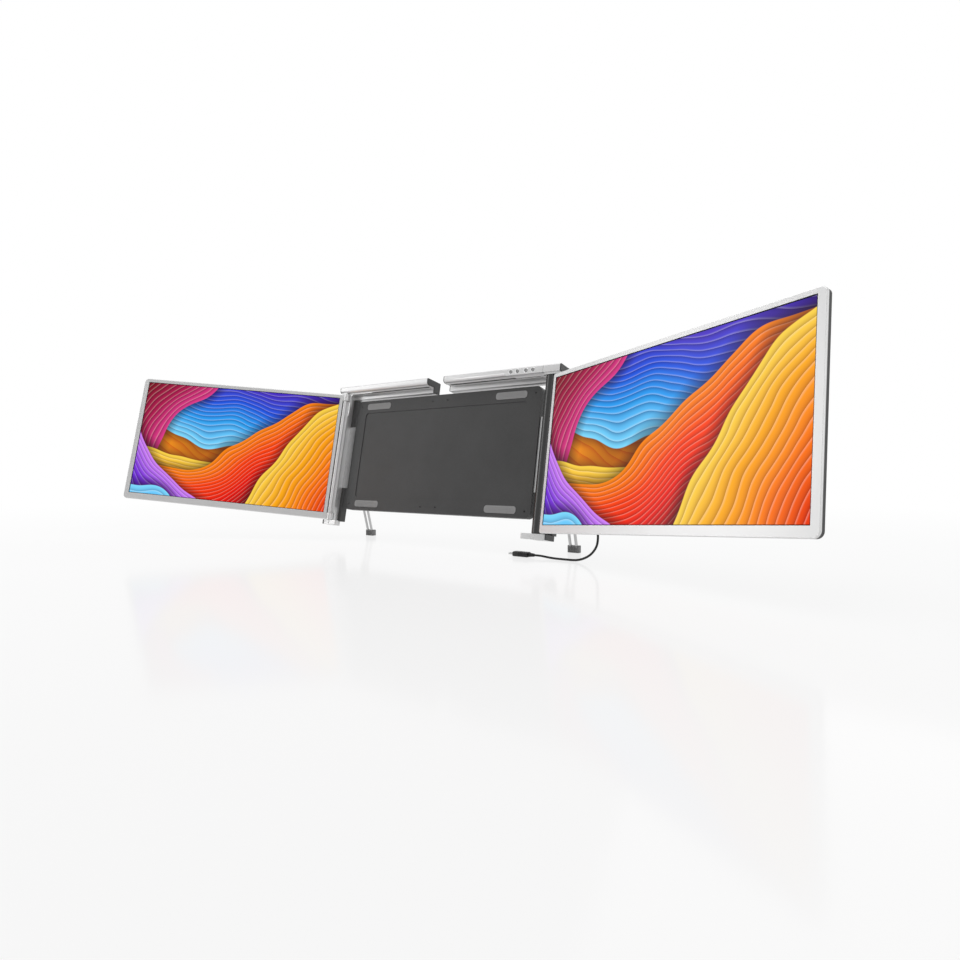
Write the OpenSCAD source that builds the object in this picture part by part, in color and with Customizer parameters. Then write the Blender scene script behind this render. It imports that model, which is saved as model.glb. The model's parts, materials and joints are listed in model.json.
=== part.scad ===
// Laptop screen extender: two side screens on a clamp frame that hangs on a laptop's lid.
// The frame is drawn along the lid: x to the right, y to the back, z up the lid. It is then leaned
// back as one. Zero is the middle of the lid slot's top edge, on the plane of the rest pads.

/* [Stand] */
// Lean of the laptop's lid, in degrees
lid_tilt = 10.9; // [0:0.1:25]
// Drop from the lid slot's top to the desk
desk_drop = 234.6; // [225:0.2:260]

/* [Screens] */
// Width of the picture
active_w = 332; // [280:1:380]
// Height of the picture
active_h = 186.8; // [160:0.2:215]
// Frame beside the hinge
bezel_in = 5.8; // [4.5:0.1:9]
// Frame at the free edge
bezel_out = 9; // [5:0.5:14]
// Frame above the picture
bezel_top = 6.4; // [4.5:0.1:12]
// Frame below the picture
bezel_bottom = 11; // [5:0.5:16]
// Thickness of the front frame
frame_t = 2; // [1.6:0.1:3]
// Depth of the rear shell
shell_t = 7; // [6.2:0.1:9]
// Radius of the screen's free corners
corner_r = 6.5; // [4:0.5:8]
// Radius of the corners beside the hinge
hinge_corner_r = 2.5; // [2.2:0.1:5]
// Bevel round the front frame
bevel = 0.8; // [0.4:0.1:1.2]
// Black border round the picture
border = 0.8; // [0.4:0.1:2]
// Thickness of the cover glass
glass_t = 1.1; // [0.7:0.1:1.1]
// Thickness of the display panel
panel_t = 2.6; // [2:0.1:2.8]
// Wall of the rear shell
shell_wall = 1.6; // [1.2:0.1:2]

/* [Hinges] */
// Right screen, swung forward from flat, in degrees
right_swing = 23.2; // [0:0.1:90]
// Left screen, swung forward from flat, in degrees
left_swing = 29.5; // [0:0.1:90]
// Radius of the right hinge barrel
barrel_r = 7.4; // [6:0.1:7.5]
// Radius of the left hinge knuckles
knuckle_r = 4.8; // [4:0.1:5.2]
// Height of each left knuckle
knuckle_h = 10.3; // [8:0.1:16]
// Radius of the hinge pins
pin_r = 2; // [1.5:0.1:2.4]
// Length of a pin inside its knuckle or barrel
pin_in = 9; // [5:0.5:9.5]

/* [Clamp frame] */
// Room for the lid, front to back
slot_t = 8; // [6:0.5:9]
// Thickness of the lip in front of the lid
lip_t = 2; // [1.5:0.1:3]
// Reach of the lip down the lid near the ends
lip_deep = 2.4; // [1.8:0.1:2.6]
// Reach of the lip along the rest of the bar
lip_thin = 1.2; // [0.8:0.1:1.6]
// How far the rim stands in front of the lip
rim_proud = 5.5; // [4.5:0.1:6]
// Height of the top bars
bar_h = 10; // [9:0.5:14]
// Reach of the top bars down behind the lid
bar_back = 8; // [5:0.5:9]
// Wall of the top bars
bar_wall = 1.8; // [1.4:0.1:2.2]
// Gap between the two top bars
bar_gap = 29; // [20:0.5:40]
// Left half's outer end, from the left hinge axis
left_over = 14; // [12:0.5:18]
// Right half's outer end, from the right hinge axis
right_over = 17; // [15:0.5:22]
// Seam of the end block, inward from the right hinge axis
seam_in = 9; // [8:0.5:14]
// Where the lip deepens, inward from the hinge axis
lip_step = 52; // [30:1:80]
// Thickness of the dark end caps
cap_t = 1.5; // [1:0.1:2.5]
// Width of the left side rail
rail_w = 5; // [4:0.1:5.4]
// Width of the side rail's lip
rail_lip = 3.3; // [2:0.1:4]
// Width of that lip near the top corner
gusset_w = 5.5; // [4:0.1:5.8]
// Length of the wide stretch of that lip
gusset_h = 24; // [10:1:60]
// Height of the bottom clips
clip_h = 7; // [5:0.5:10]
// Depth of the bottom clips behind the lid
clip_back = 9; // [7:0.5:14]
// Reach of the right clip's finger, inward from the hinge axis
right_finger = 18; // [12:1:30]
// Reach of the left clip's finger, inward from the hinge axis
left_finger = 14; // [12:1:30]
// Length of the flat stretch of the right bar that holds the buttons, from the hinge axis
flat_w = 66; // [62:1:90]
// Rounding under the front of the top bars
grip_r = 4.4; // [2:0.1:5]

/* [Rear] */
// Depth of the housing behind the lid
housing_t = 14; // [13:0.5:18]
// Room between the housing and a column that is pushed in
housing_side = 4; // [1:0.5:12]
// Height of the housing
housing_h = 176; // [150:1:190]
// Thickness of the rest pads
pad_t = 1; // [0.8:0.1:2]
// Thickness of the housing's front plate
plate_t = 2; // [1.5:0.1:2.5]
// Wall of the housing's rear shell
housing_wall = 2; // [1.5:0.1:2.5]
// Depth of the shallow fields in the housing's faces
field_deep = 0.8; // [0.4:0.1:1]
// Width of the border round those fields
field_in = 20; // [16:1:40]
// Length of a rest pad
pad_w = 50; // [30:1:80]
// Height of a rest pad
pad_h = 10; // [6:0.5:14]
// Thickness of the slide plates
slide_t = 3; // [2:0.1:3.2]
// Height of the slide plates
slide_h = 100; // [70:1:130]
// Inner end of the slide plates
slide_end = 62; // [45:1:80]
// Travel of each clamp half inward
slide_in = 5; // [2:0.5:8]
// Travel of each clamp half outward
slide_out = 22; // [10:1:30]
// Width of the rear columns
column_w = 21.5; // [20.5:0.5:24]

/* [Prop legs] */
// Opening of the leg from the frame's back, in degrees
leg_open = 26; // [15:0.5:40]
// Pivot below the slot's top
leg_drop = 85; // [70:1:100]
// Width of the leg's sleeve
sleeve_w = 15; // [14.6:0.1:16]
// Thickness of the leg's sleeve
sleeve_t = 7.2; // [6.6:0.1:7.6]
// Length of the sleeve below its pivot
sleeve_len = 100; // [85:1:110]
// Radius of the rods
rod_r = 2; // [1.5:0.1:2.2]
// Distance between the rods
rod_pitch = 9; // [8:0.1:9.2]
// Width of the rubber foot
foot_w = 17; // [15:0.5:20]
// Depth of the rubber foot
foot_d = 9; // [8:0.5:10]
// Height of the rubber foot
foot_h = 9.5; // [8:0.5:14]
// Radius of the leg's pin
leg_pin_r = 1.5; // [1:0.1:2]

/* [Buttons and lead] */
// Radius of a button
button_r = 2.4; // [1.8:0.1:2.6]
// Travel of a button
button_travel = 0.5; // [0.3:0.1:0.8]
// Height of the socket, below the slot's top
port_drop = 30; // [24:1:38]
// Radius of the lead
lead_r = 1.4; // [1.2:0.1:1.8]

/* [Hidden] */

$fn = 48;
silver = [0.85, 0.86, 0.88];
dark = [0.22, 0.23, 0.25];
black = [0.06, 0.06, 0.07];
steel = [0.7, 0.71, 0.73];
board_green = [0.1, 0.32, 0.2];

gap = 0.4;            // running clearance between bodies
slide_gap = 0.3;      // running clearance of the slide plates
nest_gap = 0.5;       // between the folded screens and what they lie against
fold_gap = 1.5;       // beside a folded screen's free edge with both clamp halves pushed in
pin_fit = 0.05;       // radial clearance of a pin in its bore

// Screens
screen_w = bezel_in + active_w + bezel_out;
screen_h = bezel_bottom + active_h + bezel_top;
screen_t = frame_t + shell_t;
right_edge = barrel_r + gap + 1;          // hinge axis to the right screen's edge
left_edge = knuckle_r + gap + 1;          // hinge axis to the left screen's edge
rail_back = 2;                            // side rail's inner face, inward from the hinge axis
screen_top = -lip_deep - gap;
screen_low = screen_top - screen_h;
clip_top = screen_low - gap - 0.2;

// Hinge axes: the right screen nests against the rest pads, the left one folds over it
hinge_x = (screen_w + 2 * slide_in + fold_gap
    + max(right_edge + rail_back + gusset_w, left_edge + barrel_r)) / 2;
right_axis_y = -nest_gap - screen_t / 2;
left_front = 1;                           // left screen's front ahead of its axis
left_axis_y = -max(slot_t + lip_t, nest_gap + screen_t) - nest_gap - left_front;

// Clamp frame
lip_y = -slot_t - lip_t;
rim_y = lip_y - rim_proud;
back_y = pad_t + housing_t;
bar_in = bar_gap / 2;
left_end = hinge_x + left_over;
right_end = hinge_x + right_over;
rail_in = hinge_x - rail_back;
rail_out = rail_in + rail_w;
housing_half = hinge_x + left_over - column_w - slide_in - housing_side;
block_in = hinge_x - barrel_r - 0.2;      // inner face of the right end block's lower part
seam_x = hinge_x - seam_in;
clip_front = lip_y - 3;
corner_in = 5;                            // rounding of the left frame's inner corner
column_y = pad_t + plate_t;
slide_z = clip_top / 2;                   // middle of the slide plates

// Legs
ear_t = 2;
ear_gap = 0.3;
leg_inset = sleeve_w / 2 + ear_t + ear_gap + 0.2;
leg_y = back_y + 2.5 + sleeve_t / 2;
pivot_low = -leg_y * sin(lid_tilt) - leg_drop * cos(lid_tilt);
leg_reach = (desk_drop + pivot_low) / cos(leg_open - lid_tilt);
rod_top = 45;
slide_back = 30;                          // how far the rods push in

// Lead: where it leaves the socket plug, then along the desk to the laptop plug
plug_len = 22;
plug_w = 11;
plug_h = 6.4;
boot_len = 8;
tip_len = 6.5;
port_y = column_y + (back_y - column_y) / 2;
port_at = [right_end, port_y * cos(lid_tilt) - port_drop * sin(lid_tilt),
    -port_y * sin(lid_tilt) - port_drop * cos(lid_tilt)];
lead_route = [
    [234.5, 3.2, -31.2], [238, 3.2, -31.2], [243, 3.1, -31.4], [249.5, 2.6, -33.6],
    [255, 1.8, -38.4], [258.5, 0.6, -46],
    [260, -1.5, -58], [260.5, -6, -84], [260.5, -11, -112], [260.5, -16, -140], [260.5, -22, -168],
    [261, -27.5, -193], [262, -29, -204.5], [260.5, -30, -214.5], [254.5, -31, -223.5],
    [245.5, -31.5, -229.5], [235, -31.5, -232.6], [222, -31.5, -233.1], [206, -31.5, -233],
    [196, -31.5, -232.4], [187, -31.5, -231.5], [182, -31.5, -231.3], [176, -31.5, -231.3],
];

// ---------- helpers ----------

// Rounded rectangle with its low corner at zero
module rounded(w, h, r) {
    translate([r, 0]) square([w - 2 * r, h]);
    translate([0, r]) square([w, h - 2 * r]);
    for (x = [r, w - r], y = [r, h - r]) translate([x, y]) circle(r);
}

// Outline of a screen, pulled in by m; the two corners beside the hinge are tighter
module screen_outline(m) {
    w = screen_w - 2 * m;
    h = screen_h - 2 * m;
    a = hinge_corner_r - m / 2;
    b = corner_r - m;
    translate([m, m]) {
        translate([a, 0]) square([w - a - b, h]);
        translate([0, a]) square([a + 0.1, h - 2 * a]);
        translate([w - b - 0.1, b]) square([b + 0.1, h - 2 * b]);
        for (y = [a, h - a]) translate([a, y]) circle(a);
        for (y = [b, h - b]) translate([w - b, y]) circle(b);
    }
}

// Slab in the x-z plane, from y to y + t, with rounded corners
module slab(x, z, w, h, r, y, t)
    translate([x, y + t, z]) rotate([90, 0, 0]) linear_extrude(t) rounded(w, h, r);

module box_at(x0, x1, y0, y1, z0, z1)
    translate([x0, y0, z0]) cube([x1 - x0, y1 - y0, z1 - z0]);

module leaned() rotate([-lid_tilt, 0, 0]) children();

module flipped(side) mirror([side < 0 ? 1 : 0, 0, 0]) children();

function arc(cx, cy, r, a0, a1) = [for (i = [0:5]) let (a = a0 + (a1 - a0) * i / 5) [cx + r * cos(a), cy + r * sin(a)]];

// Profile of a top bar in the y-z plane, drawn as x-y, pulled in by w; low_r rounds it under the front
module bar_profile(w = 0, low_r = 1.6) {
    r = 1.6 - min(w, 1);
    q = max(low_r - w, 0.6);
    f = rim_y + w;
    b = back_y - w;
    t = bar_h - w;
    k = pad_t + w;
    polygon(concat(
        arc(f + r, t - r, r, 180, 90), arc(b - r, t - r, r, 90, 0),
        arc(b - r, -bar_back + w + r, r, 0, -90), [[k, -bar_back + w], [k, w]],
        arc(f + q, w + q, q, -90, -180)));
}

module along_x(x0, x1) translate([x0, 0, 0]) rotate([90, 0, 90]) linear_extrude(x1 - x0) children();

// Lip in front of the lid, drawn in the x-z plane; it deepens near the outer end
module bar_lip(x0, x1) {
    s = max(hinge_x - lip_step, x0);
    translate([0, -slot_t, 0]) rotate([90, 0, 0]) linear_extrude(lip_t) {
        translate([s, -lip_deep]) square([x1 - s, lip_deep + 0.1]);
        if (s > x0 + 3) polygon([[x0, 0.1], [s, 0.1], [s, -lip_deep], [s - 3, -lip_thin], [x0, -lip_thin]]);
    }
}

module on_right_axis() translate([hinge_x, right_axis_y, 0]) rotate([0, 0, -right_swing]) children();

module on_left_axis() translate([hinge_x, left_axis_y, 0]) rotate([0, 0, -left_swing]) children();

// ---------- root: housing behind the lid ----------

housing_top = -bar_back - 4;
housing_low = housing_top - housing_h;
screw_x = [14, housing_half - 9];
screw_z = [housing_low + 9, housing_top - 9];

// Shallow field inside the screws and pads, sunk into a face that looks along y
module field(y) slab(field_in - housing_half, housing_low + field_in, 2 * (housing_half - field_in),
    housing_h - 2 * field_in, 6, y, field_deep + 1);

module screw_places() for (s = [-1, 1], x = screw_x, z = screw_z) translate([s * x, 0, z]) rotate([-90, 0, 0]) children();

module housing_plate() color(dark) difference() {
    slab(-housing_half, housing_low, 2 * housing_half, housing_h, 8, pad_t, plate_t);
    field(pad_t - 1);
    screw_places() cylinder(h = 20, r = 1.25);
}

module housing_shell() color(dark) {
    floor_y = back_y - housing_wall;
    difference() {
        hull() {
            slab(-housing_half, housing_low, 2 * housing_half, housing_h, 8, column_y, back_y - column_y - 2);
            slab(-housing_half + 2, housing_low + 2, 2 * housing_half - 4, housing_h - 4, 6, back_y - 0.5, 0.5);
        }
        slab(-housing_half + housing_wall, housing_low + housing_wall, 2 * (housing_half - housing_wall),
            housing_h - 2 * housing_wall, 6, column_y - 1, floor_y - column_y + 1);
        for (s = [-1, 1]) flipped(s)
            box_at(housing_half - 5, housing_half + 1, column_y - 1, column_y + slide_t + slide_gap,
                slide_z - slide_h / 2 - slide_gap, slide_z + slide_h / 2 + slide_gap);
        screw_places() translate([0, 0, back_y - 3]) cylinder(h = 4, r = 2.8);
        screw_places() cylinder(h = 20, r = 1.5);
        field(back_y - field_deep);
    }
    // guide ribs above and below each slide plate, and rests behind it
    for (s = [-1, 1]) flipped(s) {
        for (e = [-1, 1]) translate([0, 0, slide_z + e * (slide_h / 2 + slide_gap + 1) - 1])
            box_at(slide_end - slide_in - 4, housing_half - housing_wall, column_y, floor_y, 0, 2);
        for (x = [slide_end + slide_out + 6, housing_half - 12])
            box_at(x, x + 2, column_y + slide_t + slide_gap, floor_y, slide_z - slide_h / 2, slide_z + slide_h / 2);
        translate([slide_stop, column_y, slide_z]) rotate([-90, 0, 0]) cylinder(h = floor_y - column_y, r = stop_r);
    }
    difference() {
        screw_places() translate([0, 0, column_y]) cylinder(h = floor_y - column_y, r = 4);
        screw_places() cylinder(h = 20, r = 1.5);
        screw_places() translate([0, 0, back_y - 3]) cylinder(h = 4, r = 2.8);
    }
}

slide_stop = slide_end + slide_out + 18;
stop_r = 2.5;

module rest_pads() color(black) for (s = [-1, 1], z = [housing_low + 5, housing_top - pad_h - 5])
    flipped(s) slab(housing_half - pad_w - 22, z, pad_w, pad_h, 4, 0, pad_t);

module housing_screws() color(steel) screw_places() {
    translate([0, 0, back_y - 3]) cylinder(h = 1.6, r = 2.7);
    translate([0, 0, pad_t + 0.4]) cylinder(h = back_y - pad_t - 3.4, r = 1.25);
}

// ---------- clamp halves ----------

// Hollow stretch of a bar: rounded under its front as far as flat_from
module bar_body(x0, x1, flat_from) {
    difference() {
        union() {
            along_x(x0, min(flat_from, x1)) bar_profile(0, grip_r);
            if (flat_from < x1) along_x(flat_from, x1) bar_profile();
        }
        along_x(x0 - 1, x1 + 1) bar_profile(bar_wall, grip_r);
        if (flat_from < x1) along_x(flat_from + bar_wall, x1 + 1) bar_profile(bar_wall);
    }
    bar_lip(x0, x1);
}

// Solid outer end of a bar: closes the slot beside the lid and holds the hinge pin
module bar_end(x0, x1, low_in, low_r) {
    along_x(x0, x1) bar_profile(0, low_r);
    box_at(low_in, x1, clip_front, pad_t + 1, -lip_deep, 1);
    bar_lip(x0, low_in + 0.5);
}

module left_top_bar() color(silver) flipped(-1) difference() {
    union() {
        bar_body(bar_in + cap_t, rail_in - 6, rail_in);
        bar_end(rail_in - 6, left_end - cap_t, rail_in, grip_r);
    }
    translate([hinge_x, left_axis_y, -lip_deep - 1]) cylinder(h = pin_in + 1, r = pin_r);
}

module right_top_bar() color(silver) difference() {
    bar_body(bar_in + cap_t, seam_x, hinge_x - flat_w);
    for (x = button_x) translate([x, rim_y - 1, button_z]) rotate([-90, 0, 0])
        cylinder(h = bar_wall + 2, r = button_r + 0.15);
}

module right_end_block() color(silver) difference() {
    bar_end(seam_x, right_end - cap_t, block_in, 1.6);
    translate([hinge_x, right_axis_y, -lip_deep - 1]) cylinder(h = pin_in + 1, r = pin_r);
    // room for the barrel in the rear leg
    translate([hinge_x, right_axis_y, -bar_back - 1]) cylinder(h = bar_back + 1 - lip_deep, r = barrel_r + gap);
}

module bar_cap(x, low_r) along_x(x, x + cap_t) bar_profile(0.15, low_r);

module left_bar_caps() color(dark) flipped(-1) {
    bar_cap(bar_in, grip_r);
    bar_cap(left_end - cap_t, grip_r);
}

module right_bar_caps() color(dark) {
    bar_cap(bar_in, grip_r);
    bar_cap(right_end - cap_t, 1.6);
}

// Side wall of the left frame: proud rim and lip in front, wall beside the lid behind
module left_side_rail() color(silver) flipped(-1) {
    rail_top = screen_top - knuckle_h - gap;
    rail_low = screen_low + knuckle_h + gap;
    box_at(rail_in, rail_out, left_axis_y + knuckle_r + 0.7, column_y, clip_top, -bar_back);
    box_at(rail_in, rail_out, left_axis_y + knuckle_r + 0.7, pad_t, -bar_back - 1, -lip_deep);
    rail_front(rail_low, rail_top);
    translate([0, -slot_t, 0]) rotate([90, 0, 0]) linear_extrude(lip_t) {
        strip = hinge_x - knuckle_r - gap;
        lip_in = rail_in - gusset_w;
        polygon([[rail_in + 1, rail_low], [rail_in - rail_lip, rail_low], [rail_in - rail_lip, rail_top - gusset_h],
            [lip_in, rail_top - gusset_h + 3], [lip_in, -lip_deep], [strip, -lip_deep],
            [strip, rail_top], [rail_in + 1, rail_top]]);
        // rounded inner corner under the top bar
        translate([lip_in - corner_in, -lip_deep - corner_in]) difference() {
            translate([0.01, 0]) square(corner_in);
            circle(corner_in - 0.3);
        }
    }
    box_at(rail_in, rail_out + 4, column_y - 1.5, column_y, clip_top, -bar_back);
}

// Front of the side rail: a wide rounding on the lid's side, a small one outside
module rail_front(z0, z1) translate([0, 0, z0]) linear_extrude(z1 - z0) {
    a = rail_w - 1.6;
    b = 1.4;
    y1 = left_axis_y + knuckle_r + 1;
    translate([rail_in, rim_y + a]) square([rail_w, y1 - rim_y - a]);
    translate([rail_in + a, rim_y + b]) square([rail_w - a, a]);
    intersection() {
        translate([rail_in + a, rim_y + a]) circle(a);
        translate([rail_in, rim_y]) square([a + 0.1, a + 0.1]);
    }
    translate([rail_out - b, rim_y + b]) circle(b);
    translate([rail_in + a, rim_y]) square([rail_w - a - b, b + 0.1]);
}

// Bottom clip: an outer block with a finger that reaches in front of the lid
module bottom_clip(outer, lid_side, axis_y, finger) difference() {
    union() {
        box_at(lid_side, outer, clip_front + 1.5, clip_back, clip_top - clip_h, clip_top);
        hull() for (x = [hinge_x - finger, outer - 2]) {
            translate([x, clip_front + 2, clip_top - clip_h]) cylinder(h = clip_h, r = 2, $fn = 32);
            box_at(x - 2, x + 2, -slot_t - 0.5, -slot_t, clip_top - clip_h, clip_top);
        }
    }
    translate([hinge_x, axis_y, clip_top - clip_h + 1]) cylinder(h = clip_h, r = pin_r);
}

module left_bottom_clip() color(silver) flipped(-1)
    bottom_clip(left_end - cap_t, rail_in, left_axis_y, left_finger);

module right_bottom_clip() color(silver) bottom_clip(right_end - cap_t, block_in, right_axis_y, right_finger);

module clip_cap(x) translate([x, clip_front, clip_top - clip_h]) rotate([90, 0, 90]) linear_extrude(cap_t)
    rounded(clip_back - clip_front, clip_h, 1);

module left_clip_cap() color(dark) flipped(-1) clip_cap(left_end - cap_t);

module right_clip_cap() color(dark) clip_cap(right_end - cap_t);

// Rear column: joins bar, clip, slide plate and leg; a rebate in its front takes the slide plate
module column(out) difference() {
    translate([0, 0, clip_top]) linear_extrude(-bar_back - clip_top)
        translate([out - column_w, column_y]) rounded(column_w, back_y - column_y, 1.5);
    box_at(out - column_w - 1, out - 1.5, column_y - 1, column_y + slide_t,
        slide_z - slide_h / 2, slide_z + slide_h / 2);
}

module left_column() color(dark) flipped(-1) column(left_end);

column_in = right_end - column_w;

board_low = -port_drop - 14;
board_top = -bar_back - 4;

module right_column() color(dark) difference() {
    column(right_end);
    box_at(column_in + 2, right_end - 2, column_y - 1, back_y - 2, board_low, board_top);
    translate([right_end - 3, port_y, -port_drop]) rotate([0, 90, 0]) linear_extrude(4)
        translate([-4.7, -1.8]) rounded(9.4, 3.6, 1.79);
}

module right_column_cover() color(dark)
    box_at(column_in + 2, right_end - 2, column_y, column_y + 1.5, board_low, board_top);

module slide_plate(out) difference() {
    box_at(slide_end, out - 1.5, column_y, column_y + slide_t, slide_z - slide_h / 2, slide_z + slide_h / 2);
    slab(slide_stop - slide_out - stop_r - 0.5, slide_z - stop_r - 0.5, slide_in + slide_out + 2 * stop_r + 1,
        2 * stop_r + 1, stop_r + 0.49, column_y - 1, slide_t + 2);
    // windows that save weight, clear of the stop slot and of the guides' end
    for (z = [-1, 1]) slab(slide_end + 12, slide_z + z * (slide_h / 4 + 5) - window_h / 2,
        housing_half - slide_out - slide_end - 24, window_h, 4, column_y - 1, slide_t + 2);
}

window_h = 18;

module left_slide_plate() color(steel) flipped(-1) slide_plate(left_end);

module right_slide_plate() color(steel) slide_plate(right_end);

module hinge_pins(y, low) {
    translate([hinge_x, y, screen_top - pin_in]) cylinder(h = pin_in + gap + pin_in - 1, r = pin_r);
    translate([hinge_x, y, clip_top - clip_h + 1]) cylinder(h = low - clip_top + clip_h - 1 + pin_in, r = pin_r);
}

module left_hinge_pins() color(steel) flipped(-1) hinge_pins(left_axis_y, screen_low);

module right_hinge_pins() color(steel) hinge_pins(right_axis_y, screen_low);

// ---------- screens: x from the edge beside the hinge, y from the front ----------

module screen_slab(inset, y, t)
    translate([0, y + t, screen_low]) rotate([90, 0, 0]) linear_extrude(t) screen_outline(inset);

// Rectangle round the picture, grown by m
module picture_box(m, y, t)
    box_at(bezel_in - m, bezel_in + active_w + m, y, y + t,
        screen_low + bezel_bottom - m, screen_low + bezel_bottom + active_h + m);

module front_frame() color(silver) difference() {
    hull() {
        screen_slab(bevel, 0, 0.1);
        screen_slab(0, bevel, frame_t - bevel);
    }
    picture_box(border, -1, frame_t + 2);
    picture_box(border + 1.4, frame_t - glass_t, glass_t + 1);
}

module glass() color(black) picture_box(border + 1.4, frame_t - glass_t, glass_t);

board_x = bezel_in + 20;
board_z = screen_low + bezel_bottom + 6;
board_y = frame_t + panel_t + 0.8;
board_w = 118;
board_h = 42;
post_in = 6;                              // posts under the driver board, in from its corners

module display() color(steel) {
    picture_box(border + 1.4, frame_t, panel_t);
    // flex bridge at the bottom that runs to the driver board
    box_at(board_x + 20, board_x + board_w - 20, frame_t + panel_t, board_y, board_z, board_z + 10);
}

module driver_board() color(board_green) {
    box_at(board_x, board_x + board_w, board_y, board_y + 1, board_z, board_z + board_h);
    for (p = [[16, 12, 14], [48, 14, 12], [82, 10, 16]]) translate([board_x + p[0], board_y + 1, board_z + p[1]])
        cube([p[2], 0.6, p[2]]);
}

vent_pitch = 11;
vent_w = 7;
vent_h = 2.4;
vent_count = 14;
ledge_in = 40;
ledge_w = 20;

module rear_shell() color(dark) {
    difference() {
        hull() {
            screen_slab(0.5, frame_t, shell_t - 2.2);
            screen_slab(3, screen_t - 0.4, 0.4);
        }
        screen_slab(shell_wall + 0.5, frame_t - 1, shell_t - shell_wall + 1);
        // two rows of vents across the lower middle
        for (i = [0:vent_count - 1], z = [30, 36])
            slab((screen_w - vent_w) / 2 + (i - (vent_count - 1) / 2) * vent_pitch, screen_low + z,
                vent_w, vent_h, vent_h / 2 - 0.01, screen_t - 3, 4);
    }
    // ledges that hold the display, and posts under the driver board
    for (x = [ledge_in, screen_w - ledge_in - ledge_w]) {
        box_at(x, x + ledge_w, frame_t + panel_t, screen_t - shell_wall,
            screen_low + shell_wall + 0.3, screen_low + bezel_bottom + 1);
        box_at(x, x + ledge_w, frame_t + panel_t, screen_t - shell_wall,
            screen_top - bezel_top - 1, screen_top - shell_wall - 0.3);
    }
    for (x = [post_in, board_w - post_in], z = [post_in, board_h - post_in])
        translate([board_x + x, board_y + 1, board_z + z]) rotate([-90, 0, 0])
            cylinder(h = screen_t - shell_wall - board_y - 1, r = 2);
}

module right_screen() on_right_axis() translate([right_edge, -screen_t / 2, 0]) children();

module left_screen() flipped(-1) on_left_axis() translate([left_edge, -left_front, 0]) children();

module left_front_frame() left_screen() front_frame();
module left_glass() left_screen() glass();
module left_display() left_screen() display();
module left_driver_board() left_screen() driver_board();
module left_rear_shell() left_screen() rear_shell();
module right_front_frame() right_screen() front_frame();
module right_glass() right_screen() glass();
module right_display() right_screen() display();
module right_driver_board() right_screen() driver_board();
module right_rear_shell() right_screen() rear_shell();

// Two short arms that carry the left screen on its pins
module left_knuckles() color(silver) flipped(-1) on_left_axis()
    for (z = [screen_top - knuckle_h, screen_low]) difference() {
        union() {
            translate([0, 0, z]) cylinder(h = knuckle_h, r = knuckle_r);
            box_at(0, left_edge, -left_front, knuckle_r - 0.4, z, z + knuckle_h);
        }
        translate([0, 0, z - 1]) cylinder(h = knuckle_h + 2, r = pin_r + pin_fit);
    }

// Full-height barrel that carries the right screen
module right_barrel() color(black) on_right_axis() difference() {
    union() {
        translate([0, 0, screen_low]) cylinder(h = screen_h, r = barrel_r);
        box_at(0, right_edge, -screen_t / 2 + 1.2, screen_t / 2 - 1.2, screen_low + 1, screen_top - 1);
    }
    for (z = [screen_low - 1, screen_top - pin_in - 0.5]) translate([0, 0, z])
        cylinder(h = pin_in + 1.5, r = pin_r + pin_fit);
}

// ---------- buttons and boards ----------

button_pitch = [58, 47.5, 34.5, 24];      // from the hinge axis, the middle gap is wider
button_x = [for (p = button_pitch) hinge_x - p];
button_z = bar_h / 2;
wall_y = rim_y + bar_wall;
flange_r = bar_h / 2 - bar_wall - 0.4;    // clear of the rounding inside the bar
stem = 1.1;

module button(i) color(silver) translate([button_x[i], 0, button_z]) rotate([-90, 0, 0]) {
    translate([0, 0, rim_y - 0.6]) cylinder(h = bar_wall + 0.7, r = button_r);
    translate([0, 0, wall_y + 0.12]) cylinder(h = 0.5, r = flange_r);
    translate([0, 0, wall_y + 0.5]) cylinder(h = stem, r = 0.8);
}

module button_board() color(board_green) {
    y = wall_y + 0.5 + stem + button_travel;
    for (x = button_x) box_at(x - 1.5, x + 1.5, y + 0.05, y + 0.8, button_z - 1.5, button_z + 1.5);
    box_at(button_x[0] - 8, button_x[3] + 6, y + 0.8, y + 2, bar_wall, bar_h - bar_wall);
}

module hub_board() color(board_green) {
    x = column_in + 3;
    y = port_y + 1.72;
    box_at(x, right_end - 2, y, y + 1.2, board_low, board_top);
    for (z = [board_top - 9, board_low + 1]) box_at(x + 3, x + 11, y - 1, y, z, z + 7);
}

module usb_socket() color(steel) translate([right_end - 8, port_y, -port_drop]) rotate([0, 90, 0])
    difference() {
        linear_extrude(8) translate([-4.6, -1.7]) rounded(9.2, 3.4, 1.69);
        translate([0, 0, 1]) linear_extrude(9) translate([-4.2, -1.3]) rounded(8.4, 2.6, 1.29);
    }

// ---------- prop legs: x from the middle of the leg ----------

module leg_bracket() color(dark) difference() {
    half = sleeve_w / 2 + ear_t + ear_gap;
    union() {
        box_at(-half, half, back_y, back_y + 2, -leg_drop - 9, -leg_drop + 9);
        for (x = [-half, half - ear_t]) hull() {
            box_at(x, x + ear_t, back_y, back_y + 1, -leg_drop - 7, -leg_drop + 7);
            translate([x, leg_y, -leg_drop]) rotate([0, 90, 0]) cylinder(h = ear_t, r = 4, $fn = 32);
        }
    }
    translate([-half - 1, leg_y, -leg_drop]) rotate([0, 90, 0]) cylinder(h = 2 * half + 2, r = leg_pin_r);
}

module leg_pin() color(steel) {
    half = sleeve_w / 2 + ear_t + ear_gap;
    translate([-half, leg_y, -leg_drop]) rotate([0, 90, 0]) cylinder(h = 2 * half, r = leg_pin_r);
}

module on_leg() translate([0, leg_y, -leg_drop]) rotate([leg_open, 0, 0]) children();

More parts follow.
